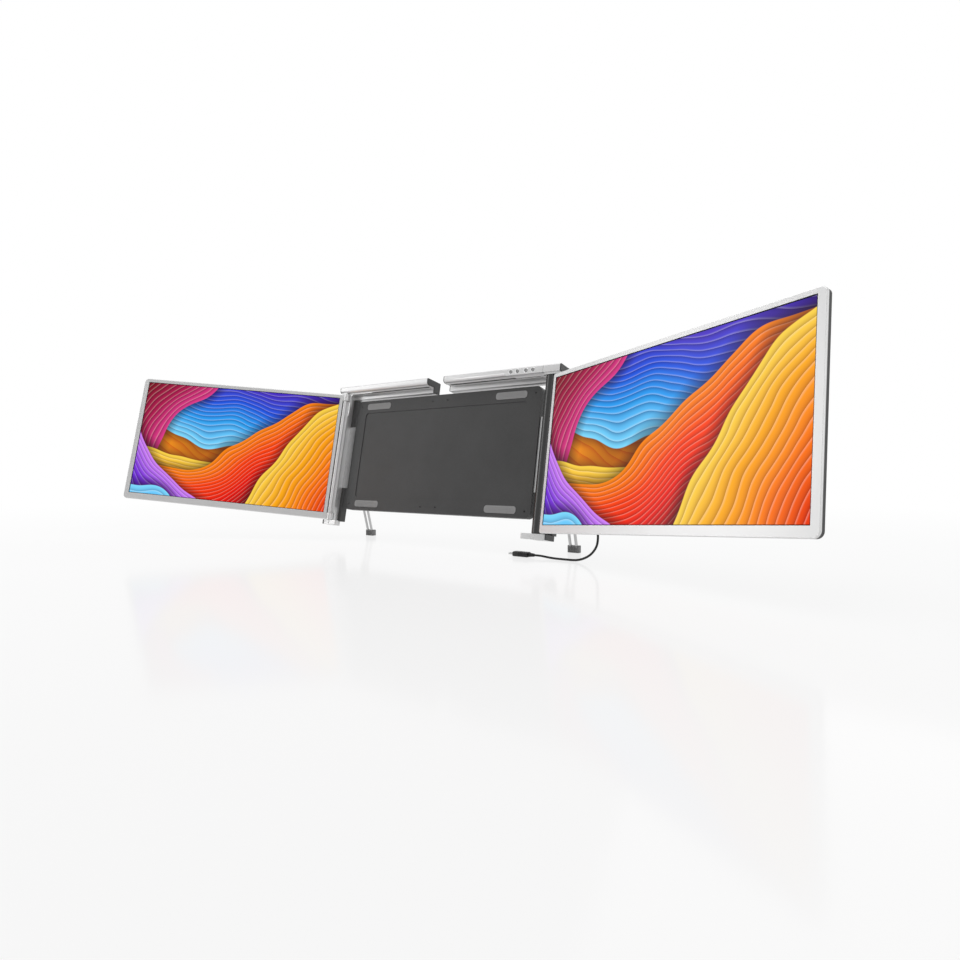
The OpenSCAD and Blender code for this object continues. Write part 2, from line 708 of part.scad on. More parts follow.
module leg_sleeve() color(dark) on_leg() difference() {
    union() {
        translate([-sleeve_w / 2, 0, 0]) rotate([0, 90, 0]) cylinder(h = sleeve_w, r = sleeve_t / 2);
        translate([0, 0, -sleeve_len]) linear_extrude(sleeve_len)
            translate([-sleeve_w / 2, -sleeve_t / 2]) rounded(sleeve_w, sleeve_t, 2.4);
    }
    translate([-sleeve_w, 0, 0]) rotate([0, 90, 0]) cylinder(h = 2 * sleeve_w, r = leg_pin_r + pin_fit);
    for (s = [-1, 1]) translate([s * rod_pitch / 2, 0, -sleeve_len - 1])
        cylinder(h = sleeve_len - rod_top + slide_back + 3, r = rod_r + pin_fit);
}

foot_in = 5;                              // how deep the rods sit in the foot

module leg_rods() color(steel) on_leg() for (s = [-1, 1])
    translate([s * rod_pitch / 2, 0, foot_in - leg_reach]) cylinder(h = leg_reach - foot_in - rod_top, r = rod_r);

// Rubber block with upright grooves, level with the desk
module foot() color(black) difference() {
    on_leg() translate([0, 0, -leg_reach]) rotate([lid_tilt - leg_open, 0, 0]) difference() {
        translate([-foot_w / 2, -foot_d / 2, 0]) linear_extrude(foot_h) rounded(foot_w, foot_d, 2);
        for (x = [-2:2], s = [-1, 1]) translate([x * foot_rib - 0.5, s * foot_d / 2 - 0.6, 1.5])
            cube([1, 1.2, foot_h - 3]);
    }
    leg_rods();
}

foot_rib = 2.4;                           // from one groove to the next

module left_leg() translate([leg_inset - left_end, 0, 0]) children();
module right_leg() translate([right_end - leg_inset, 0, 0]) children();

module left_leg_bracket() left_leg() leg_bracket();
module left_leg_pin() left_leg() leg_pin();
module left_leg_sleeve() left_leg() leg_sleeve();
module left_leg_rods() left_leg() leg_rods();
module left_foot() left_leg() foot();
module right_leg_bracket() right_leg() leg_bracket();
module right_leg_pin() right_leg() leg_pin();
module right_leg_sleeve() right_leg() leg_sleeve();
module right_leg_rods() right_leg() leg_rods();
module right_foot() right_leg() foot();

// ---------- lead ----------

function spline(a, b, c, d, t) = 0.5 * ((2 * b) + (c - a) * t + (2 * a - 5 * b + 4 * c - d) * t * t
    + (3 * b - a - 3 * c + d) * t * t * t);

function smooth(p, steps) = concat(
    [for (i = [0:len(p) - 2], s = [0:steps - 1])
        spline(p[max(i - 1, 0)], p[i], p[i + 1], p[min(i + 2, len(p) - 1)], s / steps)],
    [p[len(p) - 1]]);

function unit(v) = v / norm(v);

// One closed tube swept along the points
module tube(points, r, sides = 8) {
    n = len(points);
    side_dir = [0, 1, 0.02];
    rings = [for (i = [0:n - 1]) let (
        t = unit(points[min(i + 1, n - 1)] - points[max(i - 1, 0)]),
        u = unit(cross(side_dir, t)), v = cross(t, u))
        for (k = [0:sides - 1]) let (a = 360 * k / sides) points[i] + r * (cos(a) * u + sin(a) * v)];
    walls = [for (i = [0:n - 2], k = [0:sides - 1]) let (a = i * sides + k, b = i * sides + (k + 1) % sides)
        [a, a + sides, b + sides, b]];
    polyhedron(rings, concat([[for (k = [0:sides - 1]) k]], walls,
        [[for (k = [sides - 1:-1:0]) (n - 1) * sides + k]]));
}

module lead() color(black) tube(smooth(lead_route, 2), lead_r);

// Plug body along +x with a tapered boot at its far end
module plug() {
    hull() for (x = [0, plug_len]) translate([x, 0, 0]) rotate([90, 0, 90]) linear_extrude(0.1)
        translate([-plug_w / 2, -plug_h / 2]) rounded(plug_w, plug_h, 2.2, $fn = 24);
    translate([plug_len, 0, 0]) rotate([0, 90, 0]) cylinder(h = boot_len, r1 = 2.8, r2 = lead_r + 0.6);
}

module plug_tip() rotate([90, 0, -90]) linear_extrude(tip_len) translate([-4.1, -1.2]) rounded(8.2, 2.4, 1.19);

module socket_plug() color(black) translate(port_at + [0.2, 0, 0]) rotate([90 - lid_tilt, 0, 0]) plug();

module socket_plug_tip() color(steel) translate(port_at + [0.2, 0, 0]) rotate([90 - lid_tilt, 0, 0]) plug_tip();

laptop_plug_at = lead_route[len(lead_route) - 1] - [plug_len + boot_len, 0, 0];

module laptop_plug() color(black) translate(laptop_plug_at) plug();

module laptop_plug_tip() color(steel) translate(laptop_plug_at) plug_tip();

leaned() housing_plate();
leaned() housing_shell();
leaned() rest_pads();
leaned() housing_screws();
leaned() left_top_bar();
leaned() left_bar_caps();
leaned() left_side_rail();
leaned() left_bottom_clip();
leaned() left_clip_cap();
leaned() left_column();
leaned() left_slide_plate();
leaned() left_hinge_pins();
leaned() left_front_frame();
leaned() left_glass();
leaned() left_display();
leaned() left_driver_board();
leaned() left_rear_shell();
leaned() left_knuckles();
leaned() right_top_bar();
leaned() right_end_block();
leaned() right_bar_caps();
leaned() right_bottom_clip();
leaned() right_clip_cap();
leaned() right_column();
leaned() right_column_cover();
leaned() right_slide_plate();
leaned() right_hinge_pins();
leaned() button_board();
leaned() hub_board();
leaned() usb_socket();
leaned() right_front_frame();
leaned() right_glass();
leaned() right_display();
leaned() right_driver_board();
leaned() right_rear_shell();
leaned() right_barrel();
leaned() button(0);  // button_power
leaned() button(1);  // button_menu
leaned() button(2);  // button_minus
leaned() button(3);  // button_plus
leaned() left_leg_bracket();
leaned() left_leg_pin();
leaned() left_leg_sleeve();
leaned() left_leg_rods();
leaned() left_foot();
leaned() right_leg_bracket();
leaned() right_leg_pin();
leaned() right_leg_sleeve();
leaned() right_leg_rods();
leaned() right_foot();
lead();
socket_plug();
socket_plug_tip();
laptop_plug();
laptop_plug_tip();
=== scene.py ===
import json
import math

import bmesh
import bpy
from mathutils import Matrix, Vector

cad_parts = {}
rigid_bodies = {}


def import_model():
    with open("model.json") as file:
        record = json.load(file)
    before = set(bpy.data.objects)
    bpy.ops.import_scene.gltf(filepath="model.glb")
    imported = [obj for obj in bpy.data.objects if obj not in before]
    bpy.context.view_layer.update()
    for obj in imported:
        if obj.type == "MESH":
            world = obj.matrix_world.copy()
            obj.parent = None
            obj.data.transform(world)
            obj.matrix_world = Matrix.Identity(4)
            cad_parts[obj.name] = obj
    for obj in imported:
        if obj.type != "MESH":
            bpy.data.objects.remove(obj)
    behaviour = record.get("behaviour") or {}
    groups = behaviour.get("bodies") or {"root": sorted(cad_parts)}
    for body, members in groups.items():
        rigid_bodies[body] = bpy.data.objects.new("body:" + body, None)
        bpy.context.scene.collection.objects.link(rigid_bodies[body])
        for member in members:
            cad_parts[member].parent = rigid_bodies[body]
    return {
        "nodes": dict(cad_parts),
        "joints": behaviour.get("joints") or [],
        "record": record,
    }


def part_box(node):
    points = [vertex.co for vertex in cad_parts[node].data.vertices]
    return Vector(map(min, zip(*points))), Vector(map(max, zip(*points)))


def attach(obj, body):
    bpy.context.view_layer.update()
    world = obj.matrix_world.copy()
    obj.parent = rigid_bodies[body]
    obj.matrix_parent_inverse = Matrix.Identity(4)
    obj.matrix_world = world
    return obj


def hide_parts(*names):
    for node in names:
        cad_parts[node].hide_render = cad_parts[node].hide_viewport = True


for leftover in list(bpy.data.objects):
    bpy.data.objects.remove(leftover)

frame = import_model()
nodes = frame["nodes"]
record = frame["record"]
joints = {j["name"]: j for j in frame["joints"]}
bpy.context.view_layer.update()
print("frame loaded:", len(nodes), "nodes")

scene = bpy.context.scene
mm = 0.001

view = {
    "place": (0.56878, -0.70826, -0.12379),
    "turn": (89.129, 0.0, 35.196),  # degrees
    "lens": 23.024,
    "sensor": 36.0,
    "nearest": 0.01,  # metres
    "farthest": 60.0,
}

lens = bpy.data.cameras.new("camera")
lens.lens = view["lens"]
lens.sensor_width = view["sensor"]
lens.clip_start = view["nearest"]
lens.clip_end = view["farthest"]
camera = bpy.data.objects.new("camera", lens)
camera.location = view["place"]
camera.rotation_euler = [math.radians(a) for a in view["turn"]]
scene.collection.objects.link(camera)
scene.camera = camera
print("camera placed")


class Wire:  # one value in a material: sums on it add Math nodes
    def __init__(self, paint, socket):
        self.paint = paint
        self.socket = socket

    def math(self, operation, first, second=0.0, clamp=False):
        return self.paint.add("Math", {"operation": operation, "use_clamp": clamp}, {0: first, 1: second})

    def __add__(self, other):
        return self.math("ADD", self, other)

    def __radd__(self, other):
        return self.math("ADD", other, self)

    def __sub__(self, other):
        return self.math("SUBTRACT", self, other)

    def __rsub__(self, other):
        return self.math("SUBTRACT", other, self)

    def __mul__(self, other):
        return self.math("MULTIPLY", self, other)

    def __truediv__(self, other):
        return self.math("DIVIDE", self, other)

    def __pow__(self, other):
        return self.math("POWER", self, other)

    def __abs__(self):
        return self.math("ABSOLUTE", self)

    def sine(self):
        return self.math("SINE", self)

    def fraction(self):
        return self.math("FRACT", self)

    def held(self):  # kept between 0 and 1
        return self.math("ADD", self, 0.0, clamp=True)

    def most(self, other):
        return self.math("MAXIMUM", self, other)


class Paint:  # one material with its Principled shader
    def __init__(self, name, fixed=None):
        self.material = bpy.data.materials.new(name)
        self.material.use_nodes = True
        self.tree = self.material.node_tree
        self.shader = self.tree.nodes["Principled BSDF"]
        for key, value in (fixed or {}).items():
            self.set(key, value)

    def set(self, key, value):
        self.feed(self.shader.inputs[key], value)

    def feed(self, socket, value):
        if isinstance(value, Wire):
            self.tree.links.new(value.socket, socket)
        elif isinstance(value, (tuple, list, Vector)) and socket.type == "RGBA":
            socket.default_value = (*value, 1.0)[:4]
        else:
            socket.default_value = value

    def add(self, kind, settings=None, sockets=None, out=0):
        node = self.tree.nodes.new("ShaderNode" + kind)
        for key, value in (settings or {}).items():
            if key == "stops":
                self.setStops(node.color_ramp, value)
            else:
                setattr(node, key, value)
        for key, value in (sockets or {}).items():
            self.feed(node.inputs[key], value)
        return Wire(self, node.outputs[out])

    def setStops(self, ramp, stops):
        while len(ramp.elements) > 1:
            ramp.elements.remove(ramp.elements[-1])
        for i, (position, colour) in enumerate(stops):
            stop = ramp.elements[0] if i == 0 else ramp.elements.new(position)
            stop.position = position
            stop.color = (*colour, 1.0)[:4]

    def place(self):  # where the point lies on the part at rest
        return self.add("TexCoord", out="Object")

    def along(self, place, direction):
        return self.add("VectorMath", {"operation": "DOT_PRODUCT"}, {0: place, 1: direction}, out="Value")

    def stretched(self, place, factors):
        return self.add("VectorMath", {"operation": "MULTIPLY"}, {0: place, 1: factors})

    def noise(self, place, scale, detail=2.0, rough=0.5):
        return self.add("TexNoise", None, {
            "Vector": place, "Scale": scale, "Detail": detail, "Roughness": rough})

    def mix(self, factor, first, second, blend="MIX"):
        return self.add("Mix", {"data_type": "RGBA", "blend_type": blend},
                        {0: factor, 6: first, 7: second}, out=2)

    def ramp(self, value, *stops):
        return self.add("ValToRGB", {"stops": stops}, {0: value}, out="Color")

    def bump(self, height, distance):
        relief = {"Height": height, "Distance": distance, "Strength": 1.0}
        self.set("Normal", self.add("Bump", None, relief))


def hue(code):  # a screen colour such as "ff8800" in the units that shaders use
    parts = [int(code[i:i + 2], 16) / 255 for i in (0, 2, 4)]
    return tuple(c / 12.92 if c <= 0.04045 else ((c + 0.055) / 1.055) ** 2.4 for c in parts)


def grey(level):
    return hue(format(level, "02x") * 3)


# Finishes: greys are screen levels up to 255, grains and brushes are per metre, depths in metres.

anodised = {
    "pale": 222,
    "deep": 208,
    "metallic": 0.62,
    "roughness": 0.36,
    "brush": 230.0,
    "stretch": 7.0,  # how much finer the brush is across its lines
    "fine": 5200.0,
    "cloud": 9.0,
    "depth": 0.000012,
}


def satinSilver(name, shift=0):
    paint = Paint(name, {"Metallic": anodised["metallic"]})
    place = paint.place()
    across = paint.stretched(place, (1.0, anodised["stretch"], anodised["stretch"]))
    streaks = paint.noise(across, anodised["brush"], 3.0, 0.6)
    fine = paint.noise(place, anodised["fine"], 1.0)
    cloud = paint.noise(place, anodised["cloud"], 2.0)
    tone = cloud * 0.7 + streaks * 0.3
    paint.set("Base Color", paint.mix(tone, grey(anodised["deep"] + shift), grey(anodised["pale"] + shift)))
    paint.set("Roughness", anodised["roughness"] + (streaks - 0.5) * 0.1 + (fine - 0.5) * 0.04)
    paint.bump(streaks, anodised["depth"])
    return paint.material


milled = {"deep": 226, "pale": 242, "metallic": 0.9, "roughness": 0.16, "lines": 260.0, "stretch": 20.0}


def cutEdge(name):  # bright edge that a milling tool leaves
    paint = Paint(name, {"Metallic": milled["metallic"]})
    across = paint.stretched(paint.place(), (1.0, milled["stretch"], milled["stretch"]))
    lines = paint.noise(across, milled["lines"], 2.0)
    paint.set("Base Color", paint.mix(lines, grey(milled["deep"]), grey(milled["pale"])))
    paint.set("Roughness", milled["roughness"] + lines * 0.12)
    return paint.material


powder = {"metallic": 0.35, "darker": 10, "paler": 14, "grain": 1500.0, "cloud": 11.0, "depth": 0.00016}


def powderMetal(name, level, roughness):
    paint = Paint(name, {"Metallic": powder["metallic"]})
    place = paint.place()
    speck = paint.noise(place, powder["grain"], 3.0, 0.65)
    cloud = paint.noise(place, powder["cloud"], 4.0, 0.6)
    tone = (speck * 1.4 - 0.7 + cloud).held()
    paint.set("Base Color", paint.mix(tone, grey(level - powder["darker"]), grey(level + powder["paler"])))
    paint.set("Roughness", roughness + (speck - 0.5) * 0.2 + (cloud - 0.5) * 0.14)
    paint.bump(speck, powder["depth"])
    return paint.material


satin = {"gloss": 0.4, "paler": 6, "smear": 24.0, "depth": 0.00002}


def satinBlack(name, level, roughness, grain=2600.0, metallic=0.0):
    paint = Paint(name, {"Metallic": metallic, "Specular IOR Level": satin["gloss"]})
    place = paint.place()
    speck = paint.noise(place, grain, 2.0)
    smear = paint.noise(place, satin["smear"], 2.0)
    paint.set("Base Color", paint.mix(speck, grey(level), grey(level + satin["paler"])))
    paint.set("Roughness", roughness + (smear - 0.5) * 0.1)
    paint.bump(speck, satin["depth"])
    return paint.material


silicone = {"paler": 22, "roughness": 0.72, "grain": 1500.0, "dust": 60.0, "depth": 0.00008}


def mouldedRubber(name, level):
    paint = Paint(name)
    place = paint.place()
    speck = paint.noise(place, silicone["grain"], 3.0, 0.7)
    dust = paint.noise(place, silicone["dust"], 3.0, 0.7)
    tone = (speck * 0.6 + dust * 0.4).held()
    paint.set("Base Color", paint.mix(tone, grey(level), grey(level + silicone["paler"])))
    paint.set("Roughness", silicone["roughness"] + (speck - 0.5) * 0.2)
    paint.bump(speck, silicone["depth"])
    return paint.material


steel = {"deep": 176, "pale": 206, "roughness": 0.24, "lines": 160.0, "depth": 0.00003}


def drawnSteel(name, stretch):
    paint = Paint(name, {"Metallic": 1.0})
    lines = paint.noise(paint.stretched(paint.place(), stretch), steel["lines"], 4.0, 0.6)
    paint.set("Base Color", paint.mix(lines, grey(steel["deep"]), grey(steel["pale"])))
    paint.set("Roughness", steel["roughness"] + lines * 0.16)
    paint.bump(lines, steel["depth"])
    return paint.material


capMetal = {"deep": 132, "pale": 150, "metallic": 0.8, "roughness": 0.3, "grain": 4200.0, "depth": 0.00002}


def buttonMetal(name):
    paint = Paint(name, {"Metallic": capMetal["metallic"]})
    fine = paint.noise(paint.place(), capMetal["grain"], 2.0)
    paint.set("Base Color", paint.mix(fine, grey(capMetal["deep"]), grey(capMetal["pale"])))
    paint.set("Roughness", capMetal["roughness"] + fine * 0.1)
    paint.bump(fine, capMetal["depth"])
    return paint.material


tracks = {
    "board": ("0d3a22", "124a2b"),
    "copper": "1c6b3c",
    "scale": 160.0,
    "wide": 0.9,
    "high": 0.3,
    "line": 0.08,
}


def boardGreen(name):
    paint = Paint(name)
    first, second = tracks["board"]
    pattern = paint.add("TexBrick", {"offset": 0.5}, {
        "Vector": paint.place(), "Scale": tracks["scale"],
        "Color1": hue(first), "Color2": hue(second), "Mortar": hue(tracks["copper"]),
        "Mortar Size": tracks["line"], "Brick Width": tracks["wide"], "Row Height": tracks["high"]})
    paint.set("Base Color", pattern)
    paint.set("Roughness", 0.35)
    return paint.material


foil = {"deep": 188, "pale": 206, "metallic": 0.7, "roughness": 0.35, "lines": 80.0, "stretch": 20.0}


def panelBack(name):
    paint = Paint(name, {"Metallic": foil["metallic"]})
    across = paint.stretched(paint.place(), (1.0, 1.0, foil["stretch"]))
    lines = paint.noise(across, foil["lines"], 3.0)
    paint.set("Base Color", paint.mix(lines, grey(foil["deep"]), grey(foil["pale"])))
    paint.set("Roughness", foil["roughness"] + lines * 0.1)
    return paint.material


looks = {
    "silver_bar": satinSilver("satinSilverBar"),
    "silver_frame": satinSilver("satinSilverFrame", 2),
    "cut_edge": cutEdge("cutEdge"),
    "button": buttonMetal("buttonMetal"),
    "dark_metal": powderMetal("darkMetal", 68, 0.46),
    "housing": powderMetal("housingMetal", 62, 0.5),
    "rear_shell": powderMetal("shellMetal", 60, 0.44),
    "barrel": satinBlack("barrelBlack", 74, 0.27, metallic=1.0),
    "rubber": mouldedRubber("rubber", 140),
    "steel": drawnSteel("drawnSteel", (12.0, 12.0, 1.0)),
    "black_screw": satinBlack("blackScrew", 30, 0.34, metallic=0.6),
    "display_panel": panelBack("panelBack"),
    "circuit_board": boardGreen("boardGreen"),
    "lead_black": satinBlack("leadBlack", 20, 0.42, 3400.0),
}
for entry in record["subparts"]:
    if entry["material_slot"] in looks:
        for slot in nodes[entry["node"]].material_slots:
            slot.material = looks[entry["material_slot"]]
print("finishes made")


# Axes of the leaned lid and of each screen: x to the right, y to the back, z up along the face.

def upright(axis):
    up = Vector(axis).normalized()
    return up if up.z > 0 else -up


def lidAxes():
    up = upright(joints["right_screen_hinge"]["axis"])
    side = Vector((1, 0, 0))
    return Matrix([side, up.cross(side), up]).transposed().to_4x4()


def screenAxes(side):  # worked out from the screen's glass
    up = upright(joints[side + "_screen_hinge"]["axis"])
    back = -Vector(max(nodes[side + "_glass"].data.polygons, key=lambda p: p.area).normal)
    if back.y < 0:
        back = -back
    return Matrix([back.cross(up), back, up]).transposed().to_4x4()


def reach(name, axes):  # lowest and highest corner of a node along those axes
    inward = axes.inverted()
    spots = [inward @ v.co for v in nodes[name].data.vertices]
    return [Vector([pick(s[i] for s in spots) for i in range(3)]) for pick in (min, max)]


def outward(spot, direction):  # axes at a spot with z along a direction
    turn = Vector(direction).to_track_quat("Z", "Y").to_matrix().to_4x4()
    return Matrix.Translation(spot) @ turn


lid = lidAxes()
screens = {side: screenAxes(side) for side in ("left", "right")}
inMillimetres = Matrix.Scale(mm, 4)


def skin(shape, rings, loop=False):  # through rings of as many points, closed by flat ends or by the first
    made = [[shape.verts.new(p) for p in ring] for ring in rings]
    pairs = list(zip(made, made[1:]))
    if loop:
        pairs.append((made[-1], made[0]))
    for low, high in pairs:
        for k in range(len(low)):
            n = (k + 1) % len(low)
            shape.faces.new((low[k], low[n], high[n], high[k]))
    if not loop:
        shape.faces.new(made[0][::-1])
        shape.faces.new(made[-1])


def roundForm(angle):
    return 1.0


def crossForm(angle, arm=0.24):  # outline of a cross recess, 1 at the ends of its arms
    wide = max(abs(math.cos(angle)), abs(math.sin(angle)))
    thin = min(abs(math.cos(angle)), abs(math.sin(angle)))
    return 1 / wide if thin <= arm * wide else arm / thin


def turned(shape, axes, profile, steps=40, loop=False):  # profile: radius, height and maybe an outline
    rings = []
    for radius, height, *form in profile:
        outline = form[0] if form else roundForm
        spots = [(outline(a) * math.cos(a), outline(a) * math.sin(a))
                 for a in (2 * math.pi * k / steps for k in range(steps))]
        rings.append([axes @ Vector((radius * x, radius * y, height)) for x, y in spots])
    skin(shape, rings, loop)


def roundedOutline(halfWide, halfHigh, corner, steps):
    points = []
    for quarter in range(4):
        cx = (halfWide - corner) * (1 if quarter in (0, 3) else -1)
        cy = (halfHigh - corner) * (1 if quarter in (0, 1) else -1)
        for k in range(steps + 1):
            a = math.pi / 2 * (quarter + k / steps)
            points.append((cx + corner * math.cos(a), cy + corner * math.sin(a)))
    return points


def lofted(shape, axes, sections, steps=6):  # sections: place along z, half sizes and corner radius
    skin(shape, [[axes @ Vector((x, y, z)) for x, y in roundedOutline(a, b, c, steps)]
                 for z, a, b, c in sections])


creaseAngle = 32  # degrees, sharper edges stay crisp


def addPiece(name, shape, body, slotName, finish=None, stands=()):
    bmesh.ops.recalc_face_normals(shape, faces=shape.faces)
    mesh = bpy.data.meshes.new(name)
    shape.to_mesh(mesh)
    shape.free()
    mesh.polygons.foreach_set("use_smooth", [True] * len(mesh.polygons))
    mesh.set_sharp_from_angle(angle=math.radians(creaseAngle))
    mesh.materials.append(looks[finish or slotName])
    piece = bpy.data.objects.new(name, mesh)
    scene.collection.objects.link(piece)
    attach(piece, body)
    if stands:
        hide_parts(*stands)
    return piece


# The lead runs from the socket in the right column to the laptop.

lead = {
    "radius": 0.0014,
    "smoothing": 6,  # points per span of the route
    "route": [
        (0.2345, 0.0032, -0.0312), (0.238, 0.0032, -0.0312), (0.243, 0.0031, -0.0314),
        (0.2495, 0.0026, -0.0336), (0.255, 0.0018, -0.0384), (0.2585, 0.0006, -0.046),
        (0.26, -0.0015, -0.058), (0.2605, -0.006, -0.084), (0.2605, -0.011, -0.112),
        (0.2605, -0.016, -0.14), (0.2605, -0.022, -0.168), (0.261, -0.0275, -0.193),
        (0.262, -0.029, -0.2045), (0.2605, -0.03, -0.2145), (0.2545, -0.031, -0.2235),
        (0.2455, -0.0315, -0.2295), (0.235, -0.0315, -0.2326), (0.222, -0.0315, -0.2331),
        (0.206, -0.0315, -0.233), (0.196, -0.0315, -0.2324), (0.187, -0.0315, -0.2315),
        (0.182, -0.0315, -0.2313), (0.176, -0.0315, -0.2313),
    ],
}


def smoothed(points, steps):  # a line through all points, rounded between them
    points = [Vector(p) for p in points]
    line = []
    for i in range(len(points) - 1):
        a, b = points[max(i - 1, 0)], points[i]
        c, d = points[i + 1], points[min(i + 2, len(points) - 1)]
        for s in range(steps):
            t = s / steps
            line.append(0.5 * (2 * b + (c - a) * t + (2 * a - 5 * b + 4 * c - d) * t * t
                               + (3 * b - a - 3 * c + d) * t ** 3))
    return line + [points[-1]]


plug = {  # millimetres
    "halfWide": 5.5,
    "halfHigh": 3.2,
    "edge": 0.7,
    "chamfer": 0.25,
    "corner": 2.2,
    "grooves": 4,
    "grooveDepth": 0.3,
    "groovePitch": 1.7,
    "grooveStart": 9.5,
    "boot": 8.0,  # tapered, at the lead's end
    "bootRibs": 4,
    "bootRadius": 2.8,
    "bootGroove": 0.35,
    "bootWall": 0.6,  # over the lead
}


def plugAxes(name, wide):  # z runs from the plug's front to its boot, x across its wide side
    low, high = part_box(name)
    start = Vector((low.x, (low.y + high.y) / 2, (low.z + high.z) / 2))
    along = Vector((1, 0, 0))
    return Matrix.Translation(start) @ Matrix([wide, along.cross(wide), along]).transposed().to_4x4()


def plugBody(length):
    wide, high, corner = plug["halfWide"], plug["halfHigh"], plug["corner"]
    edge, chamfer, deep = plug["edge"], plug["chamfer"], plug["grooveDepth"]
    end = (wide - edge, high - edge, corner - edge)
    near = (wide - chamfer, high - chamfer, corner)
    full = (wide, high, corner)
    grooved = (wide - deep, high - deep, corner)
    sections = [(0.0, *end), (chamfer, *near), (edge, *full)]
    for k in range(plug["grooves"]):
        z = plug["grooveStart"] + k * plug["groovePitch"]
        sections += [(z, *full), (z + 0.25, *grooved), (z + 0.75, *grooved), (z + 1.0, *full)]
    return sections + [(length - edge, *full), (length - 0.2, *near), (length, *end)]


def plugBoot(length):
    def ring(z, radius):
        return (z, radius, radius, radius - 0.01)

    root, last = plug["bootRadius"], lead["radius"] / mm + plug["bootWall"]
    groove, ribs = plug["bootGroove"], plug["bootRibs"]
    pitch = plug["boot"] / ribs
    sections = [ring(length + 0.05, root)]
    for k in range(ribs):
        z = length + k * pitch
        r = root + (last - root) * k / ribs
        sections += [ring(z + pitch * 0.55, r), ring(z + pitch * 0.65, r - groove),
                     ring(z + pitch * 0.92, r - groove - 0.03),
                     ring(z + pitch, root + (last - root) * (k + 1) / ribs)]
    return sections + [ring(length + plug["boot"], last - 0.2)]


def buildPlug(name, axes):
    low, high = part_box(name)
    length = (high.x - low.x) / mm - plug["boot"]
    shape = bmesh.new()
    lofted(shape, axes @ inMillimetres, plugBody(length) + plugBoot(length))
    return addPiece(name + "_moulded", shape, "right_clamp", "lead_black", stands=[name])


tip = {  # millimetres
    "halfWide": 4.1,
    "halfHigh": 1.2,
    "lip": 0.15,
    "wall": 0.3,
    "hollowTo": 1.5,
    "tongueWide": 3.2,
    "tongueHigh": 0.36,
    "tongueBack": 0.9,  # behind the shell's end
}


def buildTip(name, axes):  # hollow steel shell with the contact tongue inside
    low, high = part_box(name)
    length = (high.x - low.x) / mm
    wide, thick, lip, wall = tip["halfWide"], tip["halfHigh"], tip["lip"], tip["wall"]
    shape = bmesh.new()
    inside = axes @ inMillimetres
    lofted(shape, inside, [(z, wide - less, thick - less, thick - less - 0.01) for z, less in (
        (0.0, 0.0), (0.2 - length, 0.0), (-length, lip), (-length, wall), (-tip["hollowTo"], wall))])
    wide, thick, back = tip["tongueWide"], tip["tongueHigh"], tip["tongueBack"]
    lofted(shape, inside, [(0.1 - tip["hollowTo"], wide, thick, 0.1), (back - length, wide, thick, 0.1),
                           (back - 0.2 - length, wide - 0.15, thick - 0.1, 0.1)], 2)
    return addPiece(name + "_shell", shape, "right_clamp", "steel", stands=[name])


def buildLead():
    onLid, onDesk = lid.to_3x3() @ Vector((0, 0, 1)), Vector((0, 1, 0))
    pieces = []
    for end, wide in (("socket", onLid), ("laptop", onDesk)):
        axes = plugAxes(end + "_plug", wide)
        pieces += [buildPlug(end + "_plug", axes), buildTip(end + "_plug_tip", axes)]
    line = smoothed(lead["route"], lead["smoothing"])
    curve = bpy.data.curves.new("leadCable", "CURVE")
    curve.dimensions = "3D"
    curve.bevel_depth = lead["radius"]
    curve.bevel_resolution = 5
    curve.use_fill_caps = True
    spline = curve.splines.new("POLY")
    spline.points.add(len(line) - 1)
    for point, place in zip(spline.points, line):
        point.co = (*place, 1)
    spline.use_smooth = True
    curve.materials.append(looks["lead_black"])
    cable = bpy.data.objects.new("leadCable", curve)
    scene.collection.objects.link(cable)
    length = sum((b - a).length for a, b in zip(line, line[1:]))
    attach(cable, "right_clamp")
    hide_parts("lead")
    print("lead:", round(length, 4), "m")


buildLead()


# The picture on each screen: ridged swells that roll over each other.

